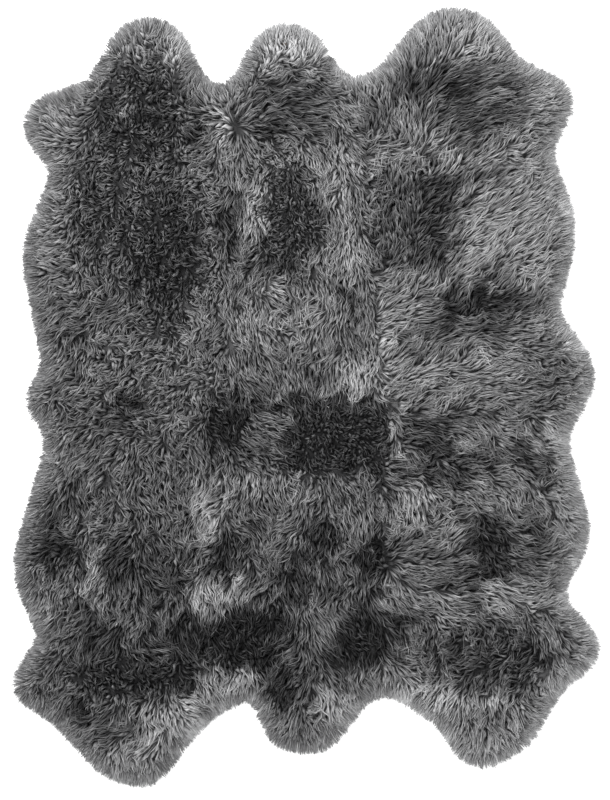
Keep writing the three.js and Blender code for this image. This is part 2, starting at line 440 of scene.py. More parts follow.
@dataclass(frozen=True)
class PeltPlan:
    """The outline of one pelt, as segments of its solid's underside, and the solid's crown."""

    name: str
    outline: Array
    crown: Array

    WELD_DIGITS = 3
    FLOOR_TOUCH = 0.05
    CROWN_ABOVE = 1.0
    SEAM_BAND = 26.0
    SEAM_RUN = 3.0

    @classmethod
    def of(cls, name: str, node: bpy.types.Object) -> "PeltPlan":
        """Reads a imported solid.

        The outline is made of the edges that belong to one triangle of the underside only, and
        the crown of the corners above the floor.

        Args:
            name: Name of the solid's node.
            node: Its object.

        Returns:
            The plan.
        """
        mesh = node.data
        mesh.calc_loop_triangles()
        places = np.empty(len(mesh.vertices) * 3)
        mesh.vertices.foreach_get("co", places)
        triangles = np.empty(len(mesh.loop_triangles) * 3, np.int64)
        mesh.loop_triangles.foreach_get("vertices", triangles)
        corners = np.round(places.reshape(-1, 3) / METRES, cls.WELD_DIGITS)
        corners, index = np.unique(corners, axis=0, return_inverse=True)
        triangles = index.reshape(-1)[triangles].reshape(-1, 3)
        grounded = (corners[triangles][..., 2] < cls.FLOOR_TOUCH).all(1)
        pairs = triangles[grounded][:, [[0, 1], [1, 2], [2, 0]]].reshape(-1, 2)
        edges, uses = np.unique(np.sort(pairs, 1), axis=0, return_counts=True)
        outline = corners[edges[uses == 1]][..., :2]
        return cls(name, outline, corners[corners[:, 2] > cls.CROWN_ABOVE])

    def cuts(self, y: Array) -> tuple[Flags, Array]:
        """Where level rows cross the outline.

        A segment crosses a row if its ends lie on either side, at the row's share of its rise.

        Args:
            y: Places of the rows.

        Returns:
            Whether each segment crosses each row, and the place on the segment's own line.
        """
        (ax, ay), (bx, by) = self.outline[:, 0].T, self.outline[:, 1].T
        level = y[:, None]
        rise = np.where(by == ay, 1.0, by - ay)
        return (ay > level) != (by > level), ax + (bx - ax) * (level - ay) / rise

    def inside(self, points: Array) -> Flags:
        """Whether a line to +X from each point crosses the outline an odd number of times."""
        spans, x = self.cuts(points[:, 1])
        return (spans & (points[:, :1] < x)).sum(1) % 2 == 1

    def crossings(self, y: Array) -> tuple[Array, Array]:
        """First and last place at which the outline crosses each row."""
        spans, x = self.cuts(y)
        return np.where(spans, x, np.inf).min(1), np.where(spans, x, -np.inf).max(1)

    def cross_seam(self) -> Array:
        """Finds the level stretch of the outline where the upper and the lower pelts meet.

        Returns:
            Its points, west to east.
        """
        run = np.abs(self.outline[:, 1] - self.outline[:, 0])
        near = np.abs(self.outline[..., 1]).max(1) < self.SEAM_BAND
        sewn = self.outline[near & (run[:, 0] > self.SEAM_RUN * run[:, 1])]
        points = np.unique(sewn.reshape(-1, 2), axis=0)
        return points[np.argsort(points[:, 0])]

    def box(self) -> Array:
        """Lowest and highest plan corner."""
        return np.stack([self.outline.min((0, 1)), self.outline.max((0, 1))])


@dataclass
class RugPlan:
    """The six pelts laid side by side, with the shared rim and the height of the pile."""

    pelts: dict[str, PeltPlan]
    rim: Array = field(init=False)
    edge: Lattice = field(init=False)
    pile: Lattice = field(init=False)

    SEAM_REACH = 2.0
    OVER_SEAM = (0.7, 0.5)
    RIM_SOFTNESS = 13.0
    EDGE_PITCH = 8.0
    PILE_PITCH = 12.0
    PILE_SOFTNESS = 11.0
    BORDER = 60.0
    ROW_PROBES = 300
    SEAM_CLEAR = 0.4
    END_CLEAR = 0.5

    def __post_init__(self) -> None:
        """Finds the rim among the outlines and lays the two lattices."""
        self.rim = np.concatenate([self.rim_of(p) for p in self.pelts.values()])
        boxes = np.stack([p.box() for p in self.pelts.values()])
        box = np.stack([boxes[:, 0].min(0) - self.BORDER, boxes[:, 1].max(0) + self.BORDER])
        depth = Lattice.of(box, self.EDGE_PITCH, self.depth_rule).blurred(self.RIM_SOFTNESS)
        uphill, across = np.gradient(depth.values[..., 0])
        fields = np.stack([depth.values[..., 0], -across, -uphill], -1)
        self.edge = Lattice(depth.low, depth.pitch, fields)
        self.pile = Lattice.of(box, self.PILE_PITCH, self.pile_rule)

    def rim_of(self, pelt: PeltPlan) -> Array:
        """Finds the part of a pelt's outline that no other pelt meets.

        Args:
            pelt: The pelt.

        Returns:
            Middles of its free segments.
        """
        others = np.concatenate([p.outline for p in self.pelts.values() if p is not pelt])
        middles = pelt.outline.mean(1)
        return middles[segment_gaps(middles, others) > self.SEAM_REACH]

    def depth_rule(self, points: Array) -> Array:
        """Distance to the rim's nearest point, negative off the rug.

        A point is on the rug if a small step one way or back puts it inside a pelt, so the gap
        at a seam counts as rug.

        Args:
            points: Plan points, one a row.

        Returns:
            One row of one distance a point.
        """
        far = np.sqrt(((self.rim - points[:, None, :]) ** 2).sum(-1).min(1))
        step = np.array(self.OVER_SEAM)
        tests = [p.inside(points + d) for p in self.pelts.values() for d in (step, -step)]
        return np.where(np.any(tests, axis=0), far, -far)[:, None]

    def pile_rule(self, points: Array) -> Array:
        """Height of the solids: the mean of their upper corners, weighted by exp(-d2 / 2 s2).

        Args:
            points: Plan points, one a row.

        Returns:
            One row of one height a point.
        """
        crowns = np.concatenate([p.crown for p in self.pelts.values()])
        span = ((points[:, None, :] - crowns[:, :2]) ** 2).sum(-1)
        span = span - span.min(1, keepdims=True)
        weight = np.exp(-span / (2.0 * self.PILE_SOFTNESS**2))
        return ((weight @ crowns[:, 2]) / weight.sum(1))[:, None]

    def depth(self, points: Array) -> Array:
        """Distance of each point inside the rim, negative outside."""
        return self.edge.at(points)[:, 0]

    def outwards(self, points: Array) -> Array:
        """Unit vector from each point to the rim."""
        out = self.edge.at(points)[:, 1:]
        return out / np.maximum(np.linalg.norm(out, axis=1), TINY)[:, None]

    def height(self, points: Array) -> Array:
        """Height of the pile at each point."""
        return self.pile.at(points)[:, 0]

    def rows(self, pelt: PeltPlan, margin: float, pitch: float, columns: int) -> Array:
        """Fills a pelt with a grid up to a margin from its rim.

        Each row runs between the outermost places along it that are inside the outline and
        deep enough, and its columns stand closer together near both ends. The row at the cross
        seam follows the seam.

        Args:
            pelt: The pelt.
            margin: Least distance from the rim.
            pitch: Distance between rows.
            columns: Points in a row.

        Returns:
            Grid of plan points, one row of the pelt after another.
        """
        low, high = pelt.box()
        seam = pelt.cross_seam()
        below = seam[:, 1].mean() < 0.5 * (low[1] + high[1])
        clear = self.SEAM_CLEAR * pitch
        start = seam[:, 1].max() + clear if below else low[1] + self.END_CLEAR
        end = high[1] - self.END_CLEAR if below else seam[:, 1].min() - clear
        y = np.linspace(start, end, int((end - start) / pitch))
        west, east = pelt.crossings(y)
        x = west[:, None] + (east - west)[:, None] * np.linspace(0.0, 1.0, self.ROW_PROBES)
        probes = np.stack([x, np.broadcast_to(y[:, None], x.shape)], -1)
        deep = self.depth(probes.reshape(-1, 2)).reshape(x.shape) >= margin
        y, x, deep = y[deep.any(1)], x[deep.any(1)], deep[deep.any(1)]
        each = np.arange(len(y))
        west = x[each, deep.argmax(1)]
        east = x[each, x.shape[1] - 1 - deep[:, ::-1].argmax(1)]
        share = 0.5 - 0.5 * np.cos(np.linspace(0.0, np.pi, columns))
        across = west[:, None] + (east - west)[:, None] * share
        grid = np.stack([across, np.broadcast_to(y[:, None], across.shape)], -1)
        sewn = across[0] if below else across[-1]
        last = np.stack([sewn, np.interp(sewn, seam[:, 0], seam[:, 1])], -1)[None]
        return np.concatenate([last, grid] if below else [grid, last])


class Wire:
    """A shader socket on which arithmetic adds Math nodes."""

    def __init__(self, shader: "Shader", socket: bpy.types.NodeSocket) -> None:
        """Keeps the socket and the shader that it belongs to."""
        self.shader = shader
        self.socket = socket

    def math(self, operation: str, other: "Wire | float") -> "Wire":
        """One Math node of this wire and another value."""
        node = self.shader.node("ShaderNodeMath", {"operation": operation}, {0: self, 1: other})
        return self.shader.wire(node)

    def __add__(self, other: "Wire | float") -> "Wire":
        """Sum."""
        return self.math("ADD", other)

    def __sub__(self, other: "Wire | float") -> "Wire":
        """Difference."""
        return self.math("SUBTRACT", other)

    def __mul__(self, other: "Wire | float") -> "Wire":
        """Product."""
        return self.math("MULTIPLY", other)

    __radd__ = __add__
    __rmul__ = __mul__


Value = Wire | float | tuple[float, ...]
Sockets = dict[str | int, Value]


class Shader:
    """A material's node tree with its Principled shader."""

    MIX_FIRST = 6
    MIX_SECOND = 7
    MIX_RESULT = 2

    def __init__(self, name: str) -> None:
        """Makes the material and finds its shader.

        Args:
            name: Name of the material.
        """
        self.material = bpy.data.materials.new(name)
        self.material.use_nodes = True
        self.tree = self.material.node_tree
        self.surface = self.tree.nodes["Principled BSDF"]

    def fill(self, node: bpy.types.Node, sockets: Sockets) -> None:
        """Links wires to a node's inputs, or sets the inputs' own values.

        Args:
            node: The node.
            sockets: Values or wires of its inputs, by name or number.
        """
        for name, value in sockets.items():
            if isinstance(value, Wire):
                self.tree.links.new(value.socket, node.inputs[name])
            else:
                node.inputs[name].default_value = value

    def node(self, kind: str, settings: dict[str, object], sockets: Sockets) -> bpy.types.Node:
        """Adds a node.

        Args:
            kind: Type of the node.
            settings: Its properties, set first. Stops are the places and colours of a ramp.
            sockets: Values or wires of its inputs, by name or number.

        Returns:
            The node.
        """
        node = self.tree.nodes.new(kind)
        for name, value in settings.items():
            if name == "stops":
                self.set_stops(node.color_ramp, value)
            else:
                setattr(node, name, value)
        self.fill(node, sockets)
        return node

    def set_stops(self, ramp: bpy.types.ColorRamp, stops: Sequence[tuple]) -> None:
        """Gives a colour ramp its stops.

        Args:
            ramp: The ramp.
            stops: Place and colour of each stop.
        """
        while len(ramp.elements) < len(stops):
            ramp.elements.new(1.0)
        for element, (place, colour) in zip(ramp.elements, stops):
            element.position = place
            element.color = (*colour, 1.0)

    def wire(self, node: bpy.types.Node, output: str | int = 0) -> Wire:
        """One output of a node."""
        return Wire(self, node.outputs[output])

    def mix(self, share: Wire, first: Value, second: Value) -> Wire:
        """Blends two colours.

        Args:
            share: Share of the second colour.
            first: Colour at share 0.
            second: Colour at share 1.

        Returns:
            The blended colour.
        """
        sockets = {"Factor": share, self.MIX_FIRST: first, self.MIX_SECOND: second}
        node = self.node("ShaderNodeMix", {"data_type": "RGBA"}, sockets)
        return self.wire(node, self.MIX_RESULT)

    def surfaced(self, sockets: Sockets) -> bpy.types.Material:
        """Fills the Principled shader and gives the material."""
        self.fill(self.surface, sockets)
        return self.material


@dataclass(frozen=True)
class Wool:
    """Dyed sheep's wool, paler at the tips and near black at the roots.

    Across the map runs the tone of the wisp and up it the way from root to tip. The darkening
    towards the root is partly the dye and partly painted shade in the depth of the pile.
    """

    name: str = "dyed wool"
    tones: tuple = (
        (0.0, (0.012, 0.012, 0.012)),
        (0.25, (0.095, 0.095, 0.097)),
        (0.5, (0.290, 0.290, 0.294)),
        (0.75, (0.590, 0.591, 0.598)),
        (1.0, (0.900, 0.902, 0.910)),
    )
    # The root colour, near black, is partly the dye and partly painted shade in the depth of the pile.
    root: tuple[float, ...] = (0.012, 0.012, 0.013, 1.0)
    root_share: float = 0.23
    roughness: float = 0.62
    gloss: float = 0.12
    fibres: float = 160.0
    streak: float = 0.22

    NOISE_MIDDLE = 0.5

    def material(self) -> bpy.types.Material:
        """Works out colour = root + (tip tone - root) (share + (1 - share) way).

        Returns:
            The material.
        """
        shader = Shader(self.name)
        spot = shader.node("ShaderNodeUVMap", {"uv_map": WOOL_MAP}, {})
        parts = shader.node("ShaderNodeSeparateXYZ", {}, {0: shader.wire(spot)})
        tone, way = shader.wire(parts, 0), shader.wire(parts, 1)
        fibre = shader.node(
            "ShaderNodeTexNoise",
            {"noise_dimensions": "1D"},
            {"W": tone, "Scale": self.fibres, "Detail": 0.0},
        )
        streaked = tone + self.streak * (shader.wire(fibre) - self.NOISE_MIDDLE)
        tip = shader.node("ShaderNodeValToRGB", {"stops": self.tones}, {0: streaked})
        # Darker towards the root: partly the dye and partly painted shade in the depth of the pile.
        tips_and_root_shade = self.root_share + (1.0 - self.root_share) * way
        return shader.surfaced(
            {
                "Base Color": shader.mix(tips_and_root_shade, self.root, shader.wire(tip)),
                "Roughness": self.roughness,
                "Specular IOR Level": self.gloss,
            }
        )


@dataclass(frozen=True)
class Suede:
    """The tanned flesh side of a hide: warm grey-tan nap, mottled and finely pored."""

    name: str = "tanned hide"
    pale: tuple[float, ...] = (0.52, 0.41, 0.30, 1.0)
    deep: tuple[float, ...] = (0.36, 0.28, 0.21, 1.0)
    mottle: float = 14.0
    pores: float = 900.0
    nap_strength: float = 0.35
    nap_depth: float = 0.0008
    roughness: float = 0.88

    def material(self) -> bpy.types.Material:
        """Blends the colours by broad noise and bumps the nap by fine noise.

        Returns:
            The material.
        """
        shader = Shader(self.name)
        spot = shader.wire(shader.node("ShaderNodeTexCoord", {}, {}), "Object")
        cloud = shader.node("ShaderNodeTexNoise", {}, {"Vector": spot, "Scale": self.mottle})
        nap = shader.node("ShaderNodeTexNoise", {}, {"Vector": spot, "Scale": self.pores})
        bump = shader.node(
            "ShaderNodeBump",
            {},
            {"Strength": self.nap_strength, "Distance": self.nap_depth, "Height": shader.wire(nap)},
        )
        return shader.surfaced(
            {
                "Base Color": shader.mix(shader.wire(cloud), self.pale, self.deep),
                "Normal": shader.wire(bump),
                "Roughness": self.roughness,
            }
        )


@dataclass
class Hide:
    """The skin of one pelt: a thin sheet that lies on the floor, short of the wool's rim."""

    plan: RugPlan
    pelt: PeltPlan
    finish: bpy.types.Material
    thickness: float = 2.5
    margin: float = 28.0
    row_pitch: float = 16.0
    columns: int = 18
    width: float = field(init=False)
    length: float = field(init=False)
    area: float = field(init=False)

    def build(self) -> bpy.types.Object:
        """Closes the pelt's grid between the floor and the hide's thickness, and measures it.

        The area is the sum of each strip's mean width times its step.

        Returns:
            The hide.
        """
        grid = self.plan.rows(self.pelt, self.margin, self.row_pitch, self.columns)
        flat = np.zeros(grid.shape[:2])
        piece = slab(grid, flat + self.thickness, flat).filled(
            self.pelt.name.replace("pelt", "hide"), self.finish
        )
        self.width, self.length = np.ptp(grid.reshape(-1, 2), axis=0) * METRES
        across = (grid[:, -1, 0] - grid[:, 0, 0]) * METRES
        step = np.diff(grid[:, 0, 1]) * METRES
        self.area = float((0.5 * (across[1:] + across[:-1]) * step).sum())
        return piece

    def dress(self, piece: bpy.types.Object, floor: bpy.types.Object, wool: bpy.types.Object) -> None:
        """Attaches the hide to the rug's body and logs its size.

        Args:
            piece: The hide.
            floor: Not used.
            wool: Not used.
        """
        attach(piece, "root")
        log.info("%s: %.3f x %.3f m, %.3f m2", piece.name, self.width, self.length, self.area)


@dataclass(frozen=True)
class Strand:
    """The make of one kind of wisp.

    pitch is the distance between roots, width and length are sizes of the whole wisp, rings
    and profile the places and shares of width at which it is cut, low and high the shares of
    the pile's height between which tips end, tone what it adds to the charted shade, lean its
    share of the charted lie, fibres the streaks across it, start and band the least and the
    greatest distance in from the rim at which it grows, and short how far its tips stay inside
    the outline.
    """

    pitch: float
    width: float
    length: float
    rings: tuple[float, ...]
    profile: tuple[float, ...]
    low: float
    high: float
    tone: float
    lean: float = 1.0
    fibres: float = 1.0
    start: float = 10.0
    band: float = 1000.0
    short: float = 0.0


# The under wisps' tone of -0.05 is painted shade, as they stand low in the pile.
UNDER_WISP = Strand(
    pitch=9.4, width=9.5, length=46.0, rings=(0.0, 0.5), profile=(0.9, 1.0), low=0.50, high=0.84,
    tone=-0.05, lean=0.8, fibres=4.0, start=30.0, short=15.0,
)
LONG_WISP = Strand(
    pitch=7.7, width=2.35, length=56.0, rings=(0.0, 0.36, 0.70), profile=(0.8, 1.0, 0.85),
    low=0.78, high=1.02, tone=0.0,
)
# The rim wisps' tone of 0.02 adds to the painted light at the rim.
RIM_WISP = Strand(
    pitch=3.4, width=1.9, length=58.0, rings=(0.0, 0.5), profile=(0.8, 1.0), low=0.62, high=1.00,
    tone=0.02, band=36.0,
)


@dataclass(frozen=True)
class Matting:
    """The make of the underwool, a slab on the hide.

    Its height is a share of the pile's less a sink, with lumps. Its tone is the charted shade
    less a painted shadow, give or take a grain, and way is its place between root and tip on the
    map, kept low, so that the wool's darkening towards the root, partly painted shade, falls on it.
    """

    margin: float = 26.0
    row_pitch: float = 18.0
    columns: int = 26
    foot: float = 2.7
    least: float = 1.0
    share: float = 0.46
    sink: float = 3.0
    lump: float = 2.0
    lump_pitch: float = 38.0
    shadow: float = 0.14
    grain: float = 0.05
    tones: Pair = (0.02, 0.9)
    way: float = 0.2
    lump_way: float = 0.05


@dataclass(frozen=True)
class Leaning:
    """How wisps stray from the charted heading and lie, and roll outwards at the rim.

    Shares of the ruffle go to broad eddies, to tufts and to each wisp, which is a little loose
    besides. press is how much the lie varies, over a pitch given in eddies. In the rim's band
    wisps come to rim_lie, outwards but slanted along the comb, which is part chart and part
    stray, where the comb doesn't face inwards.
    """

    eddy: float = 85.0
    tuft_pitch: float = 33.0
    tuft_jitter: float = 0.45
    eddy_share: float = 0.4
    tuft_share: float = 0.8
    wisp_share: float = 0.06
    loose: float = 0.10
    press: float = 0.18
    press_eddies: float = 0.7
    least_lie: float = 0.2
    lie_gain: float = 0.8
    lies: Pair = (0.1, 1.0)
    rim_band: Pair = (12.0, 58.0)
    rim_lie: float = 0.92
    chart_comb: float = 0.7
    stray_comb: float = 0.3
    slant: float = 0.4
    slant_facing: Pair = (-0.7, 0.3)


@dataclass(frozen=True)
class Reaching:
    """How far wisps reach in plan.

    Ruffled wool curls and is shorter. In the rim's band a wisp that faces the rim takes the
    room up to the rim and its overhang, and every wisp that turns to the rim keeps to cap times
    that room. facing is the cosine of the turn from the rim.
    """

    root_jitter: float = 0.5
    spread: Pair = (0.75, 1.15)
    curl: float = 0.35
    curl_ruffle: Pair = (30.0, 75.0)
    overhang: float = 14.0
    stray: float = 2.0
    facing: float = 0.35
    rim_band: Pair = (14.0, 44.0)
    rim_spread: Pair = (0.72, 1.05)
    capped_facing: float = 0.2
    cap: float = 1.05
    least: float = 3.0


@dataclass(frozen=True)
class Bending:
    """How wisps run in plan, w being the way from root to tip.

    A wisp goes ahead as w^ease, or at the rim as (1 + over) (1 - (1 - w)^turn) - over w^fall.
    It gathers towards the axis of its lock, less so at the rim, and sways with its neighbours
    and a little on its own.
    """

    lock_pitch: float = 11.0
    lock_jitter: float = 0.4
    gather: float = 0.5
    rim_release: float = 0.75
    ease: float = 1.2
    over: float = 0.06
    turn: float = 2.4
    fall: int = 4
    sway: float = 3.0
    sway_pitch: float = 30.0
    own_sway: float = 0.5


@dataclass(frozen=True)
class Rising:
    """How wisps rise: from a foot in the pile as 1 - (1 - w)^turn, to droop at the rim.

    storeys are the two shape numbers of the beta spread by which tips end low or high.
    """

    storeys: Pair = (1.6, 1.1)
    foot: float = 0.36
    turn: float = 2.0
    least: float = 3.0
    droop: float = 0.55


@dataclass(frozen=True)
class Toning:
    """How wisps get their tone.

    The chart is read at a share of the way to the tip. The rim gets painted light: its tone is
    lifted towards rim_shade, by rim_tilt a millimetre more towards +X. Clouds and flecks vary the
    tone over their pitches and a speck from wisp to wisp. A high storey is paler and a low one
    darker, painted shade in the depth of the pile. Dark wool is the most varied.
    """

    read_at: float = 0.7
    rim_band: Pair = (-4.0, 58.0)
    rim_shade: float = 0.52
    rim_tilt: float = 0.00015
    cloud: float = 0.035
    cloud_pitch: float = 56.0
    fleck_share: float = 0.7
    fleck_pitch: float = 27.0
    speck: float = 0.05
    storey: float = 0.14
    storey_middle: float = 0.6
    dark_variety: float = 1.6
    variety_fall: float = 1.2
    least_shade: float = 0.03
    tones: Pair = (0.02, 0.98)


@dataclass(frozen=True)
class Stand:
    """The wisps of one kind before they have a shape.

    way holds the places of their rings and tips from 0 to 1. root is a wisp's plan place, ahead
    its unit heading, aside the unit across that, reach its length in plan, and brink how far it
    belongs to the rim, from 0 to 1.
    """

    kind: Strand
    way: Array
    root: Array
    ahead: Array
    aside: Array
    reach: Array
    brink: Array


@dataclass
class Fleece:
    """The wool of one pelt: an underwool with long wisps, gathered into locks."""

    plan: RugPlan
    pelt: PeltPlan
    chart: Chart
    finish: bpy.types.Material
    seed: int

    kinds: tuple[Strand, ...] = (UNDER_WISP, LONG_WISP, RIM_WISP)
    matting: Matting = Matting()
    leaning: Leaning = Leaning()
    reaching: Reaching = Reaching()
    bending: Bending = Bending()
    rising: Rising = Rising()
    toning: Toning = Toning()
    fray: float = 9.0
    fray_pitch: float = 75.0
    width_spread: Pair = (0.7, 1.25)
    roll: float = 0.6
    flatness: float = 0.6
    map_half: float = 0.003
    map_skew: float = 0.01

    SIDES = 3
    KIND_STEP = 100

    def drift(self, pitch: float, stream: Stream, points: Array) -> Array:
        """Smooth noise of one of the fleece's streams at each point."""
        return Drift(pitch, self.seed + stream).at(points)

    def coat(self, points: Array) -> Coat:
        """What the chart says at each point, its borders frayed by smooth noise."""
        shift = [self.drift(self.fray_pitch, s, points) for s in (Stream.FRAY_X, Stream.FRAY_Y)]
        return self.chart.at(points + self.fray * np.stack(shift, 1))

    def underwool(self) -> Patch:
        """Builds a lumpy slab at nearly half the height of the pile, toned as its wool less a painted
        shadow.

        Returns:
            The slab, each point at its own tone on the map.
        """
        make = self.matting
        grid = self.plan.rows(self.pelt, make.margin, make.row_pitch, make.columns)
        flat, shape = grid.reshape(-1, 2), grid.shape[:2]
        lumps = self.drift(make.lump_pitch, Stream.UNDERWOOL, flat)
        top = make.share * self.plan.height(flat) - make.sink + make.lump * lumps
        top = np.maximum(top, make.foot + make.least)
        patch = slab(grid, top.reshape(shape), np.full(shape, make.foot))
        rng = np.random.default_rng(self.seed + Stream.UNDERWOOL)
        grain = rng.uniform(-make.grain, make.grain, len(flat))
        # The underwool's tone is its wool's less a painted shadow.
        tone = np.clip(self.coat(flat).shade - make.shadow + grain, *make.tones)
        spots = np.stack([tone, make.way + make.lump_way * lumps], 1)
        patch.places = np.tile(spots, (2, 1))[patch.corners]
        return patch

    def scatter(self, rng: np.random.Generator, pitch: float, jitter: float) -> Array:
        """Spreads a jittered square lattice over the pelt's box.

        Args:
            rng: Source of the jitter.
            pitch: Distance between points.
            jitter: Greatest move of a point along each axis, as a share of the pitch.

        Returns:
            Grid of plan points.
        """
        low, high = self.pelt.box()
        counts = np.ceil((high - low) / pitch).astype(int) + 2
        cells = np.stack(np.meshgrid(np.arange(counts[0]), np.arange(counts[1])), -1)
        shift = rng.uniform(-jitter, jitter, cells.shape)
        return low + (cells - 0.5 + shift) * pitch

    def nearest(self, points: Array, middles: Array, pitch: float) -> Whole:
        """Finds the lock or tuft of each point, among the nine round it.

        Args:
            points: Plan points, one a row.
            middles: Grid of the locks' or tufts' middles, as scattered.
            pitch: Distance between them.

        Returns:
            Number of the nearest middle, one a point.
        """
        rows, columns = middles.shape[:2]
        cell = np.round((points - self.pelt.box()[0]) / pitch + 0.5).astype(int)
        steps = np.stack(np.meshgrid([-1, 0, 1], [-1, 0, 1]), -1).reshape(-1, 2)
        near = cell[:, None, :] + steps
        number = np.clip(near[..., 1], 0, rows - 1) * columns + np.clip(near[..., 0], 0, columns - 1)
        gaps = np.linalg.norm(middles.reshape(-1, 2)[number] - points[:, None, :], axis=-1)
        return number[np.arange(len(points)), gaps.argmin(1)]

    def strayed(self, rng: np.random.Generator, points: Array, coat: Coat) -> Array:
        """Turns the charted headings by the ruffle's shares.

        Args:
            rng: Source of each wisp's own stray.
            points: Plan places of the roots.
            coat: What the chart says there.

        Returns:
            The unit heading of each wisp.
        """
        make = self.leaning
        broad = self.drift(make.eddy, Stream.EDDIES, points)
        shared = np.random.default_rng(self.seed + Stream.TUFTS)
        tufts = self.scatter(shared, make.tuft_pitch, make.tuft_jitter)
        turns = shared.normal(size=tufts.shape[0] * tufts.shape[1])
        tuft = turns[self.nearest(points, tufts, make.tuft_pitch)]
        ruffle = np.radians(coat.ruffle)
        turn = ruffle * (make.eddy_share * broad + make.tuft_share * tuft)
        turn = turn + (make.loose + make.wisp_share * ruffle) * rng.normal(size=len(points))
        x, y = coat.ahead.T
        cos, sin = np.cos(turn), np.sin(turn)
        return np.stack([x * cos - y * sin, x * sin + y * cos], 1)

    def leans(self, rng: np.random.Generator, points: Array, coat: Coat) -> tuple[Array, Array]:
        """Strays the charted lay by its ruffle and rolls it outwards at the rim.

        Args:
            rng: Source of the strays.
            points: Plan places of the roots.
            coat: What the chart says there.

        Returns:
            The unit plan heading of each wisp, and its lie.
        """
        make = self.leaning
        ahead = self.strayed(rng, points, coat)
        press = 1.0 + make.press * self.drift(make.press_eddies * make.eddy, Stream.PRESS, points)
        lie = np.clip((make.least_lie + make.lie_gain * coat.lie) * press, *make.lies)
        roll = 1.0 - smooth_step(self.plan.depth(points), *make.rim_band)
        out = self.plan.outwards(points)
        comb = make.chart_comb * coat.ahead + make.stray_comb * ahead
        along = smooth_step((comb * out).sum(1), *make.slant_facing)
        slant = out + make.slant * comb * along[:, None]
        slant = slant / np.linalg.norm(slant, axis=1)[:, None]
        lean = (lie * (1.0 - roll))[:, None] * ahead + (make.rim_lie * roll)[:, None] * slant
        lie = np.linalg.norm(lean, axis=1)
        return lean / np.maximum(lie, TINY)[:, None], lie

    def stand(self, rng: np.random.Generator, kind: Strand) -> Stand:
        """Roots the wisps of one kind and says where and how far each goes.

        Args:
            rng: Source of the wisps' differences.
            kind: Make of the wisps.

        Returns:
            The wisps' roots, headings and reaches.
        """
        make = self.reaching
        roots = self.scatter(rng, kind.pitch, make.root_jitter).reshape(-1, 2)
        depth = self.plan.depth(roots)
        kept = self.pelt.inside(roots) & (depth >= kind.start) & (depth < kind.band)
        roots, depth, count = roots[kept], depth[kept], int(kept.sum())
        coat = self.coat(roots)
        ahead, lie = self.leans(rng, roots, coat)
        curled = 1.0 - make.curl * smooth_step(coat.ruffle, *make.curl_ruffle)
        reach = kind.length * kind.lean * lie * curled * rng.uniform(*make.spread, count)
        facing = (ahead * self.plan.outwards(roots)).sum(1)
        room = depth + make.overhang - kind.short + make.stray * rng.normal(size=count)
        room = room / np.maximum(facing, make.facing)
        brink = (1.0 - smooth_step(depth, *make.rim_band)) * (facing > make.facing)
        reach = reach + (room * rng.uniform(*make.rim_spread, count) - reach) * brink
        capped = np.minimum(reach, make.cap * room)
        reach = np.maximum(np.where(facing > make.capped_facing, capped, reach), make.least)
        aside = np.stack([-ahead[:, 1], ahead[:, 0]], 1)
        return Stand(kind, np.append(kind.rings, 1.0), roots, ahead, aside, reach, brink)

    def lines(self, rng: np.random.Generator, stand: Stand) -> Array:
        """Runs each wisp over the plan as its bending says.

        Args:
            rng: Source of each wisp's own sway.
            stand: The wisps.

        Returns:
            Plan places of the rings and the tip, one wisp a row.
        """
        make, way = self.bending, stand.way
        order = np.random.default_rng(self.seed + Stream.LOCKS)
        locks = self.scatter(order, make.lock_pitch, make.lock_jitter)
        lock = self.nearest(stand.root, locks, make.lock_pitch)
        off_axis = ((locks.reshape(-1, 2)[lock] - stand.root) * stand.aside).sum(1)
        brink = stand.brink[:, None]
        draw = make.gather * (1.0 - make.rim_release * brink) * way**make.ease
        knee = (1.0 + make.over) * (1.0 - (1.0 - way) ** make.turn) - make.over * way**make.fall
        eased = way**make.ease + brink * (knee - way**make.ease)
        gone = (stand.reach[:, None] * eased)[..., None]
        line = stand.root[:, None, :] + stand.ahead[:, None, :] * gone
        wave = Drift(make.sway_pitch, self.seed + Stream.SWAY)
        bend = wave.at(line.reshape(-1, 2)).reshape(eased.shape) - wave.at(stand.root)[:, None]
        bend = make.sway * bend * way + make.own_sway * rng.normal(size=bend.shape) * way
        return line + stand.aside[:, None, :] * (off_axis[:, None] * draw + bend)[..., None]

    def levels(self, stand: Stand, line: Array, storey: Array) -> Array:
        """Raises each wisp from its foot to its storey, which follows the height of the pile.

        Args:
            stand: The wisps.
            line: Plan places of their rings and tips.
            storey: Where each tip ends between the kind's low and high, from 0 to 1.

        Returns:
            Heights of the rings and the tip, one wisp a row.
        """
        make, kind = self.rising, stand.kind
        crown = self.plan.height(line.reshape(-1, 2)).reshape(line.shape[:2])
        lift = kind.low + (kind.high - kind.low) * storey
        foot = make.foot * crown[:, :1]
        rise = 1.0 - (1.0 - stand.way) ** make.turn
        level = foot + (np.maximum(crown * lift[:, None], make.least) - foot) * rise
        level[:, -1] *= 1.0 - make.droop * stand.brink
        return level

    def tones(self, rng: np.random.Generator, stand: Stand, tips: Array, storey: Array) -> Array:
        """Reads each wisp's tone from the chart, paints light on the rim and shade on low wisps, and
        varies it.

        Args:
            rng: Source of the specks.
            stand: The wisps.
            tips: Plan places of their tips.
            storey: Where each tip ends between the kind's low and high, from 0 to 1.

        Returns:
            The place of each wisp across the map.
        """
        make = self.toning
        shown = tips * make.read_at + stand.root * (1.0 - make.read_at)
        shade = self.coat(shown).shade
        rim = 1.0 - smooth_step(self.plan.depth(shown), *make.rim_band)
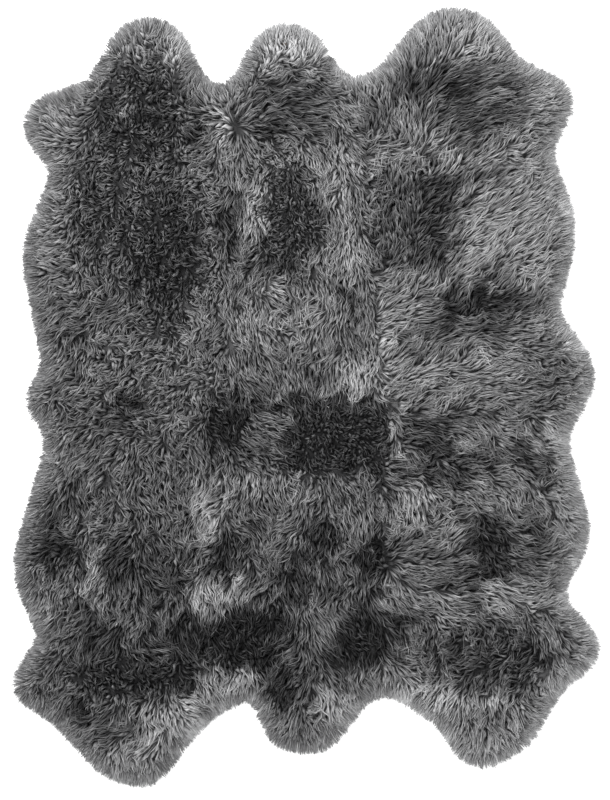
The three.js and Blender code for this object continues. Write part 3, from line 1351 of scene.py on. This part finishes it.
        # Painted light on the rim: its tone is lifted towards a paler one, more so towards +X.
        rim_light = make.rim_shade + make.rim_tilt * shown[:, 0]
        shade = shade + (np.maximum(rim_light, shade) - shade) * rim
        cloud = self.drift(make.cloud_pitch, Stream.CLOUDS, shown)
        cloud = cloud + make.fleck_share * self.drift(make.fleck_pitch, Stream.FLECKS, shown)
        # The storey term is painted shade: wisps that end low in the pile are darker, high ones paler.
        speck = make.speck * rng.normal(size=len(shown)) + make.storey * (storey - make.storey_middle)
        speck = speck * (make.dark_variety - make.variety_fall * np.clip(shade, 0.0, 1.0))
        tone = np.maximum(shade, make.least_shade) + stand.kind.tone + make.cloud * cloud + speck
        return np.clip(tone, *make.tones)

    def wisps(self, kind: Strand, number: int) -> Patch:
        """Builds every wisp of one kind as a tapered, closed, three-sided strand.

        A wisp stands at its root, leans ahead, draws in towards the axis of its lock and sways
        with its neighbours. Its tip reaches the pile's height there. At the rim it bends down
        to the floor.

        Args:
            kind: Make of the wisps.
            number: Place of the kind among the kinds.

        Returns:
            The wisps as one patch.
        """
        rng = np.random.default_rng(self.seed + self.KIND_STEP * number)
        stand = self.stand(rng, kind)
        count = len(stand.root)
        line = self.lines(rng, stand)
        storey = rng.beta(*self.rising.storeys, count)
        level = self.levels(stand, line, storey)
        tone = self.tones(rng, stand, line[:, -1], storey)
        width = kind.width * rng.uniform(*self.width_spread, count)
        roll = rng.uniform(-self.roll, self.roll, count)
        spine = np.concatenate([line, level[..., None]], -1)
        return self.strands(kind, spine, stand.aside, width, roll, tone)

    def strands(
        self, kind: Strand, spine: Array, aside: Array, width: Array, roll: Array, tone: Array
    ) -> Patch:
        """Carries a flattened triangle along each spine.

        The triangle stands across the spine's run. Its half width follows the kind's profile
        and ends in a point, and its thickness is a share of its width.

        Args:
            kind: Make of the wisps.
            spine: Places of the rings and the tip, one wisp a row.
            aside: Plan direction across each wisp.
            width: Greatest width of each wisp.
            roll: Turn of the triangle about the spine.
            tone: Place of each wisp across the map.

        Returns:
            The strands as one patch.
        """
        count, rings = len(spine), len(kind.rings)
        run = np.gradient(spine, axis=1)[:, :rings]
        run = run / np.linalg.norm(run, axis=-1, keepdims=True)
        across = np.broadcast_to(np.c_[aside, np.zeros(count)][:, None, :], run.shape)
        raised = np.cross(run, across)
        raised = raised / np.linalg.norm(raised, axis=-1, keepdims=True)
        across = np.cross(raised, run)
        angle = roll[:, None] + np.pi / 2 + 2.0 * np.pi / self.SIDES * np.arange(self.SIDES)
        half = (0.5 * width[:, None] * np.array(kind.profile))[:, :, None, None]
        cos, sin = np.cos(angle)[:, None, :, None], self.flatness * np.sin(angle)[:, None, :, None]
        body = spine[:, :rings, None, :] + half * (cos * across[:, :, None] + sin * raised[:, :, None])
        points = np.concatenate([body.reshape(count, -1, 3), spine[:, -1:]], 1)
        corners, sizes, places = self.faces(kind)
        first = np.arange(count)[:, None] * points.shape[1]
        shift = np.stack([tone, np.zeros(count)], 1)[:, None, :]
        return Patch(
            points.reshape(-1, 3),
            (first + corners).ravel(),
            np.tile(sizes, count),
            (places[corners] + shift).reshape(-1, 2),
        )

    def faces(self, kind: Strand) -> tuple[Whole, Whole, Array]:
        """Faces of one wisp: walls between its rings, a point at its tip and a closed root.

        Args:
            kind: Make of the wisp.

        Returns:
            The faces' corners in a row, their sizes, and the map place of each point at tone 0.
        """
        rings = len(kind.rings)
        ring = np.arange(rings * self.SIDES).reshape(rings, self.SIDES)
        turned = np.roll(ring, -1, 1)
        walls = np.stack([ring[:-1], turned[:-1], turned[1:], ring[1:]], -1).reshape(-1)
        tip = np.full(self.SIDES, rings * self.SIDES)
        point = np.stack([ring[-1], turned[-1], tip], -1).reshape(-1)
        corners = np.concatenate([walls, point, ring[0, ::-1]])
        sizes = np.array([4] * (self.SIDES * (rings - 1)) + [3] * (self.SIDES + 1))
        side = kind.fibres * self.map_half * np.tile(np.linspace(-1.0, 1.0, self.SIDES), rings)
        up = np.repeat(kind.rings, self.SIDES) + np.tile([0.0, self.map_skew, 0.0], rings)
        return corners, sizes, np.stack([np.append(side, 0.0), np.append(up, 1.0)], -1)

    def build(self) -> bpy.types.Object:
        """Joins the underwool and the wisps into the fleece of the pelt.

        Returns:
            The fleece.
        """
        patch = self.underwool()
        for number, kind in enumerate(self.kinds):
            patch = patch.joined(self.wisps(kind, number))
        piece = patch.filled(self.pelt.name.replace("pelt", "fleece"), self.finish)
        log.info("%s: %d triangles", piece.name, patch.triangles())
        return piece

    def dress(self, piece: bpy.types.Object) -> None:
        """Puts the fleece in the place of its solid.

        Args:
            piece: The fleece.
        """
        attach(piece, "root")
        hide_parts(self.pelt.name)


@dataclass
class Studio:
    """A white floor under soft light, seen straight from above, in metres."""

    camera_height: float = 5.20
    camera_place: Pair = (-0.0012, -0.0088)
    lens: float = 100.0
    sky: float = 1.15
    key_power: float = 300.0
    key_place: tuple[float, float, float] = (-2.3, 2.6, 3.4)
    key_size: float = 2.4
    floor_half: float = 60.0
    floor_tone: tuple[float, ...] = (0.8, 0.8, 0.8, 1.0)
    floor_roughness: float = 0.9
    floor_glow: float = 0.4

    def floor(self) -> bpy.types.Object:
        """Lays one pale square at the rug's underside, bright enough to read as white paper.

        Returns:
            The floor.
        """
        mesh = bpy.data.meshes.new("floor")
        half = self.floor_half
        corners = [(-half, -half, 0.0), (half, -half, 0.0), (half, half, 0.0), (-half, half, 0.0)]
        mesh.from_pydata(corners, [], [(0, 1, 2, 3)])
        paper = Shader("pale floor").surfaced(
            {
                "Base Color": self.floor_tone,
                "Roughness": self.floor_roughness,
                "Emission Color": WHITE,
                "Emission Strength": self.floor_glow,
            }
        )
        mesh.materials.append(paper)
        piece = bpy.data.objects.new("floor", mesh)
        bpy.context.scene.collection.objects.link(piece)
        return piece

    def light(self) -> None:
        """An even white sky and one large soft lamp at the upper left."""
        world = bpy.data.worlds.new("studio")
        world.use_nodes = True
        sky = world.node_tree.nodes["Background"].inputs
        sky["Color"].default_value = WHITE
        sky["Strength"].default_value = self.sky
        bpy.context.scene.world = world
        lamp = bpy.data.lights.new("key", "AREA")
        lamp.energy = self.key_power
        lamp.size = self.key_size
        key = bpy.data.objects.new("key", lamp)
        key.location = self.key_place
        key.rotation_euler = Vector(self.key_place).to_track_quat("Z", "Y").to_euler()
        bpy.context.scene.collection.objects.link(key)

    def camera(self) -> None:
        """Hangs the camera over the rug, its top towards +Y."""
        lens = bpy.data.cameras.new("camera")
        lens.lens = self.lens
        eye = bpy.data.objects.new("camera", lens)
        eye.location = (*self.camera_place, self.camera_height)
        bpy.context.scene.collection.objects.link(eye)
        bpy.context.scene.camera = eye
        bpy.context.scene.view_settings.view_transform = "Standard"


# The shades of the tresses and the patches in each chart are partly the wool's own tone and partly
# painted light and shade.
UPPER_LEFT = Chart(
    Tress.ground(250, 0.45, 0.40, 55),
    [
        Tress(-375, 830, 90, 60, 90, 0.60, 0.48),
        Tress(-387, 657, 110, 110, 250, 0.35, 0.15, 80),
        Tress(-480, 435, 60, 110, 270, 0.40, 0.22, 60),
        Tress(-328, 318, 75, 140, 265, 0.35, 0.12, 75),
        Tress(-415, 673, 28, 30, 200, 0.60, 0.75),
        Tress(-592, 633, 60, 75, 145, 0.80, 0.48, 15),
        Tress(-515, 657, 40, 60, 165, 0.60, 0.38),
        Tress(-601, 376, 60, 110, 170, 0.70, 0.45),
        Tress(-468, 225, 110, 45, 190, 0.60, 0.34, 35),
        Tress(-585, 108, 70, 90, 235, 0.70, 0.32),
        Tress(-275, 692, 40, 60, 90, 0.50, 0.35),
        Tress(-225, 680, 30, 45, 130, 0.75, 0.48, 12),
        Tress(-246, 633, 25, 40, 200, 0.30, 0.06, 40),
        Tress(-258, 178, 30, 60, 270, 0.60, 0.50),
        Tress(-387, 61, 150, 70, 220, 0.50, 0.41, 50),
    ],
    [
        ShadePatch(-300, 825, 25, 55, 0.35),
        ShadePatch(-160, 450, 15, 20, -0.30),
        ShadePatch(-185, 410, 25, 30, -0.40),
        ShadePatch(-165, 340, 20, 30, -0.45),
    ],
)

UPPER_CENTRE = Chart(
    Tress.ground(270, 0.50, 0.42, 40),
    [
        Tress(-36, 820, 80, 60, 90, 0.75, 0.75),
        Tress(92, 738, 40, 40, 115, 0.70, 0.45),
        Tress(128, 712, 40, 35, 118, 0.70, 0.42),
        Tress(-41, 680, 100, 70, 358, 0.80, 0.27, 15),
        Tress(104, 657, 40, 50, 310, 0.65, 0.55),
        Tress(-83, 563, 70, 35, 300, 0.35, 0.55, 70),
        Tress(60, 545, 60, 40, 290, 0.60, 0.70),
        Tress(75, 423, 40, 120, 270, 0.75, 0.62, 15),
        Tress(-141, 423, 32, 80, 270, 0.70, 0.60, 15),
        Tress(-40, 400, 75, 125, 260, 0.30, 0.21, 70),
        Tress(-83, 313, 50, 35, 225, 0.55, 0.20),
        Tress(-130, 253, 45, 50, 245, 0.60, 0.42),
        Tress(-71, 248, 30, 35, 300, 0.60, 0.66),
        Tress(29, 283, 55, 50, 265, 0.60, 0.50),
        Tress(104, 318, 45, 60, 275, 0.65, 0.65),
        Tress(-106, 150, 60, 45, 295, 0.65, 0.58),
        Tress(22, 190, 55, 50, 250, 0.65, 0.58),
        Tress(108, 131, 40, 50, 285, 0.65, 0.40),
        Tress(-111, 50, 60, 45, 310, 0.65, 0.40),
        Tress(80, 50, 65, 45, 260, 0.75, 0.72, 15),
        Tress(-13, 38, 50, 40, 280, 0.60, 0.40),
        Tress(-165, 622, 75, 85, 0, 0.70, 0.44, 12, Lay.FANNED),
    ],
    [
        ShadePatch(-208, 610, 35, 45, 0.25),
        ShadePatch(-163, 620, 14, 18, -0.70),
        ShadePatch(-85, 605, 35, 30, -0.35),
        ShadePatch(50, 575, 30, 30, -0.30),
        ShadePatch(-100, 470, 20, 30, 0.40),
        ShadePatch(55, 405, 30, 30, -0.30),
        ShadePatch(-110, 395, 20, 40, 0.30),
        ShadePatch(80, 235, 30, 20, -0.45),
        ShadePatch(45, 50, 30, 35, -0.40),
    ],
)

UPPER_RIGHT = Chart(
    Tress.ground(30, 0.65, 0.50, 30),
    [
        Tress(279, 820, 70, 65, 90, 0.75, 0.52, 15),
        Tress(419, 832, 60, 45, 52, 0.75, 0.72),
        Tress(179, 726, 40, 45, 127, 0.75, 0.40),
        Tress(249, 738, 45, 50, 100, 0.75, 0.17),
        Tress(431, 715, 150, 50, 12, 0.85, 0.32, 8),
        Tress(454, 698, 35, 18, 12, 0.85, 0.90),
        Tress(431, 657, 120, 35, 6, 0.80, 0.26, 10),
        Tress(156, 650, 35, 40, 125, 0.70, 0.28),
        Tress(244, 622, 45, 55, 90, 0.65, 0.48),
        Tress(349, 552, 65, 35, 55, 0.70, 0.60),
        Tress(489, 552, 90, 40, 18, 0.75, 0.60),
        Tress(208, 408, 50, 100, 92, 0.45, 0.30, 18, edge=Edge.CUT),
        Tress(312, 408, 50, 100, 40, 0.50, 0.18, 18, edge=Edge.CUT),
        Tress(466, 412, 120, 110, 38, 0.85, 0.62, 8),
        Tress(396, 341, 60, 25, 22, 0.80, 0.72),
        Tress(244, 260, 55, 45, 65, 0.70, 0.52),
        Tress(407, 271, 95, 35, 50, 0.80, 0.52),
        Tress(396, 229, 65, 35, 30, 0.35, 0.10, 45),
        Tress(548, 283, 50, 30, 15, 0.75, 0.66),
        Tress(524, 232, 55, 30, 35, 0.70, 0.32),
        Tress(232, 190, 45, 30, 10, 0.70, 0.64),
        Tress(302, 155, 90, 35, 15, 0.75, 0.37),
        Tress(279, 108, 40, 35, 60, 0.70, 0.38),
        Tress(431, 113, 45, 35, 322, 0.70, 0.65),
        Tress(501, 103, 45, 40, 350, 0.70, 0.56),
        Tress(384, 38, 190, 35, 12, 0.80, 0.54, 12),
        Tress(576, 38, 60, 75, 10, 0.50, 0.38, 50),
        Tress(291, -9, 90, 25, 45, 0.75, 0.53),
    ],
    [
        ShadePatch(265, 800, 20, 15, -0.35),
        ShadePatch(315, 750, 25, 20, -0.35),
        ShadePatch(460, 725, 25, 10, -0.30),
        ShadePatch(365, 710, 20, 30, -0.35),
        ShadePatch(570, 695, 40, 40, 0.35),
        ShadePatch(525, 640, 35, 25, 0.30),
        ShadePatch(400, 620, 15, 20, -0.30),
        ShadePatch(365, 585, 20, 20, -0.35),
        ShadePatch(290, 545, 25, 15, -0.30),
        ShadePatch(420, 515, 45, 30, -0.30),
        ShadePatch(615, 425, 20, 60, 0.30),
        ShadePatch(355, 375, 15, 45, 0.30),
        ShadePatch(335, 305, 20, 20, 0.30),
        ShadePatch(440, 305, 20, 20, -0.30),
        ShadePatch(335, 255, 20, 15, -0.30),
        ShadePatch(475, 215, 55, 20, -0.20),
        ShadePatch(335, 185, 25, 20, -0.40),
        ShadePatch(450, 150, 45, 35, -0.30),
        ShadePatch(175, 145, 25, 25, 0.30),
        ShadePatch(635, 120, 25, 25, 0.40),
        ShadePatch(295, 70, 30, 15, 0.30),
        ShadePatch(160, 45, 40, 50, 0.22),
    ],
)

LOWER_LEFT = Chart(
    Tress.ground(260, 0.50, 0.38, 45),
    [
        Tress(-394, -60, 150, 35, 180, 0.50, 0.28, 45),
        Tress(-422, -22, 40, 25, 200, 0.35, -0.08, 50),
        Tress(-316, -67, 45, 20, 285, 0.60, 0.68),
        Tress(-585, -172, 55, 60, 220, 0.65, 0.45),
        Tress(-485, -114, 55, 40, 212, 0.60, 0.34),
        Tress(-293, -126, 65, 55, 285, 0.60, 0.35),
        Tress(-398, -219, 50, 75, 268, 0.55, 0.36, 35),
        Tress(-550, -231, 40, 45, 268, 0.55, 0.22),
        Tress(-620, -289, 40, 60, 225, 0.70, 0.10),
        Tress(-585, -364, 55, 35, 190, 0.40, 0.02, 40),
        Tress(-492, -429, 20, 60, 265, 0.65, 0.66),
        Tress(-440, -394, 35, 55, 245, 0.65, 0.10),
        Tress(-358, -418, 40, 90, 305, 0.65, 0.20),
        Tress(-293, -289, 60, 60, 285, 0.50, 0.38, 45),
        Tress(-240, -278, 35, 60, 228, 0.75, 0.70),
        Tress(-573, -546, 55, 55, 235, 0.65, 0.30),
        Tress(-480, -580, 50, 40, 240, 0.60, 0.14),
        Tress(-352, -580, 60, 25, 345, 0.65, 0.18),
        Tress(-270, -564, 35, 50, 307, 0.65, -0.05),
        Tress(-410, -656, 160, 40, 270, 0.35, 0.10, 70),
        Tress(-550, -686, 35, 30, 225, 0.60, 0.43),
        Tress(-480, -768, 70, 35, 192, 0.65, 0.26),
        Tress(-335, -779, 45, 55, 270, 0.70, 0.68),
        Tress(-270, -756, 40, 50, 318, 0.70, 0.80),
        Tress(-210, -735, 45, 40, 300, 0.70, 0.60),
        Tress(-410, -861, 70, 40, 278, 0.70, 0.60),
        Tress(-228, -674, 40, 50, 303, 0.65, 0.70),
    ],
    [
        ShadePatch(-645, -290, 20, 25, -0.40),
        ShadePatch(-670, -365, 15, 25, -0.35),
        ShadePatch(-285, -440, 15, 60, -0.35),
        ShadePatch(-490, -475, 15, 15, -0.40),
        ShadePatch(-610, -510, 30, 35, 0.30),
        ShadePatch(-470, -525, 20, 15, -0.30),
        ShadePatch(-620, -600, 30, 15, -0.30),
        ShadePatch(-250, -645, 25, 25, -0.50),
        ShadePatch(-545, -725, 35, 20, -0.30),
    ],
)

LOWER_CENTRE = Chart(
    Tress.ground(270, 0.50, 0.38, 35),
    [
        Tress(-18, -25, 198, 15, 300, 0.35, 0.22, 30, edge=Edge.CUT),
        Tress(-180, -65, 50, 55, 315, 0.30, -0.15, 30),
        Tress(-200, -118, 25, 45, 290, 0.40, 0.22, 25),
        Tress(72, -90, 107, 74, 350, 0.20, 0.14, 60, edge=Edge.CUT),
        Tress(-95, -70, 55, 50, 345, 0.65, 0.40, 15),
        Tress(-95, -140, 55, 25, 345, 0.40, 0.25, 30),
        Tress(-106, -196, 45, 35, 268, 0.60, 0.55),
        Tress(-195, -207, 35, 40, 235, 0.60, 0.50),
        Tress(10, -224, 50, 45, 262, 0.60, 0.38),
        Tress(69, -235, 40, 40, 287, 0.50, 0.36),
        Tress(-215, -278, 30, 60, 228, 0.75, 0.68),
        Tress(-153, -289, 35, 30, 320, 0.55, 0.40),
        Tress(-190, -370, 35, 45, 250, 0.35, 0.06),
        Tress(-43, -310, 45, 45, 205, 0.60, 0.43),
        Tress(34, -336, 40, 45, 275, 0.35, 0.06),
        Tress(104, -289, 40, 50, 285, 0.65, 0.47),
        Tress(155, -382, 30, 40, 280, 0.35, -0.08),
        Tress(-106, -406, 40, 70, 268, 0.60, 0.33),
        Tress(45, -394, 40, 35, 277, 0.60, 0.33),
        Tress(-25, -434, 35, 40, 300, 0.55, 0.08),
        Tress(34, -464, 55, 25, 210, 0.55, 0.18),
        Tress(-196, -469, 75, 45, 287, 0.80, 0.72, 12),
        Tress(-130, -562, 85, 65, 270, 0.30, -0.15, 50),
        Tress(45, -545, 42, 90, 318, 0.80, 0.46, 10),
        Tress(-48, -575, 45, 40, 190, 0.65, 0.28, 12),
        Tress(123, -569, 38, 60, 300, 0.35, -0.10, 40),
        Tress(-165, -674, 45, 35, 270, 0.70, 0.70),
        Tress(57, -744, 45, 40, 300, 0.70, 0.78),
        Tress(-36, -651, 50, 40, 215, 0.50, 0.22),
        Tress(-60, -686, 40, 35, 240, 0.45, -0.05),
        Tress(-13, -779, 90, 50, 268, 0.70, 0.40),
    ],
    [
        ShadePatch(-20, -220, 20, 25, 0.30),
        ShadePatch(-120, -300, 20, 20, -0.30),
        ShadePatch(-210, -410, 35, 15, -0.40),
        ShadePatch(-130, -475, 20, 20, -0.45),
        ShadePatch(-195, -525, 20, 15, -0.35),
        ShadePatch(65, -615, 25, 30, -0.45),
        ShadePatch(105, -730, 15, 15, 0.35),
    ],
)

LOWER_RIGHT = Chart(
    Tress.ground(340, 0.60, 0.45, 30),
    [
        Tress(295, -60, 100, 35, 343, 0.80, 0.20, 15),
        Tress(384, -102, 75, 40, 338, 0.80, 0.54, 20),
        Tress(314, -114, 45, 35, 350, 0.45, 0.00),
        Tress(571, -102, 55, 45, 322, 0.70, 0.80),
        Tress(524, -137, 45, 30, 330, 0.40, 0.17),
        Tress(337, -184, 110, 35, 0, 0.45, 0.22, 40),
        Tress(443, -213, 75, 40, 330, 0.65, 0.54),
        Tress(482, -224, 35, 35, 262, 0.60, 0.50),
        Tress(628, -300, 60, 90, 310, 0.70, 0.62),
        Tress(240, -245, 50, 45, 258, 0.65, 0.75),
        Tress(314, -312, 55, 40, 40, 0.70, 0.60),
        Tress(181, -389, 50, 50, 0, 0.70, 0.15, 15, Lay.FANNED),
        Tress(267, -418, 65, 35, 355, 0.75, 0.45),
        Tress(302, -354, 80, 35, 38, 0.75, 0.35),
        Tress(431, -354, 45, 60, 287, 0.40, 0.02, 45),
        Tress(559, -378, 60, 65, 35, 0.75, 0.32),
        Tress(349, -436, 55, 30, 22, 0.75, 0.25),
        Tress(454, -470, 45, 38, 335, 0.70, 0.70),
        Tress(342, -510, 50, 35, 0, 0.70, 0.62),
        Tress(559, -464, 60, 40, 35, 0.75, 0.60),
        Tress(197, -487, 45, 45, 325, 0.75, 0.50),
        Tress(169, -569, 35, 50, 295, 0.65, 0.00),
        Tress(295, -541, 40, 30, 245, 0.55, 0.32),
        Tress(431, -616, 150, 70, 200, 0.50, 0.20, 35),
        Tress(571, -569, 40, 60, 285, 0.60, 0.42),
        Tress(249, -628, 45, 30, 350, 0.60, 0.50),
        Tress(314, -709, 60, 40, 225, 0.70, 0.80),
        Tress(396, -756, 50, 60, 270, 0.70, 0.56),
        Tress(443, -733, 50, 40, 280, 0.70, 0.75),
        Tress(443, -826, 50, 40, 295, 0.70, 0.70),
        Tress(349, -803, 45, 40, 250, 0.70, 0.55),
        Tress(618, -580, 50, 60, 330, 0.60, 0.50),
        Tress(618, -663, 40, 40, 295, 0.65, 0.80),
        Tress(232, -709, 40, 40, 272, 0.70, 0.95),
        Tress(200, -70, 28, 45, 255, 0.60, 0.66, 15),
        Tress(188, -675, 60, 45, 280, 0.65, 0.52),
    ],
    [
        ShadePatch(545, -80, 20, 25, -0.50),
        ShadePatch(445, -135, 20, 20, -0.35),
        ShadePatch(630, -185, 15, 30, 0.35),
        ShadePatch(570, -195, 15, 45, -0.30),
        ShadePatch(195, -230, 20, 30, -0.45),
        ShadePatch(360, -275, 25, 15, -0.30),
        ShadePatch(280, -290, 20, 30, -0.30),
        ShadePatch(560, -300, 20, 25, -0.40),
        ShadePatch(630, -375, 15, 20, 0.35),
        ShadePatch(145, -465, 25, 25, -0.30),
        ShadePatch(405, -485, 20, 20, -0.40),
        ShadePatch(630, -500, 20, 15, 0.30),
        ShadePatch(230, -515, 30, 20, -0.40),
        ShadePatch(630, -550, 15, 15, -0.30),
        ShadePatch(620, -610, 10, 40, -0.30),
        ShadePatch(210, -570, 15, 35, -0.35),
        ShadePatch(660, -595, 20, 35, 0.35),
        ShadePatch(560, -612, 40, 14, -0.30),
        ShadePatch(560, -690, 20, 35, 0.35),
        ShadePatch(255, -720, 25, 15, -0.35),
        ShadePatch(455, -760, 40, 20, -0.30),
        ShadePatch(510, -780, 35, 25, 0.30),
    ],
)

CHARTS = {
    "pelt_upper_left": UPPER_LEFT,
    "pelt_upper_centre": UPPER_CENTRE,
    "pelt_upper_right": UPPER_RIGHT,
    "pelt_lower_left": LOWER_LEFT,
    "pelt_lower_centre": LOWER_CENTRE,
    "pelt_lower_right": LOWER_RIGHT,
}


@dataclass
class Rug:
    """Six pelts sewn edge to edge, each a hide with its fleece."""

    floor: bpy.types.Object
    first_seed: int = 40
    seed_step: int = 10

    def build(self) -> None:
        """Builds and dresses the pelts in order.

        The wool runs on over the seams: each pelt has its own ground and the tresses of all.
        """
        plan = RugPlan({name: PeltPlan.of(name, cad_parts[name]) for name in CHARTS})
        wool = Wool().material()
        suede = Suede().material()
        tresses = [tress for chart in CHARTS.values() for tress in chart.tresses]
        shade_patches = [shade_patch for chart in CHARTS.values() for shade_patch in chart.shade_patches]
        for number, (name, own) in enumerate(CHARTS.items()):
            pelt = plan.pelts[name]
            chart = Chart(own.ground, tresses, shade_patches)
            fleece = Fleece(plan, pelt, chart, wool, self.first_seed + self.seed_step * number)
            grown = fleece.build()
            fleece.dress(grown)
            hide = Hide(plan, pelt, suede)
            hide.dress(hide.build(), self.floor, grown)


def main() -> None:
    """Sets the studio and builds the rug."""
    logging.basicConfig(level=logging.INFO, format="%(message)s")
    studio = Studio()
    floor = studio.floor()
    studio.light()
    studio.camera()
    Rug(floor).build()


if __name__ == "__main__":
    main()
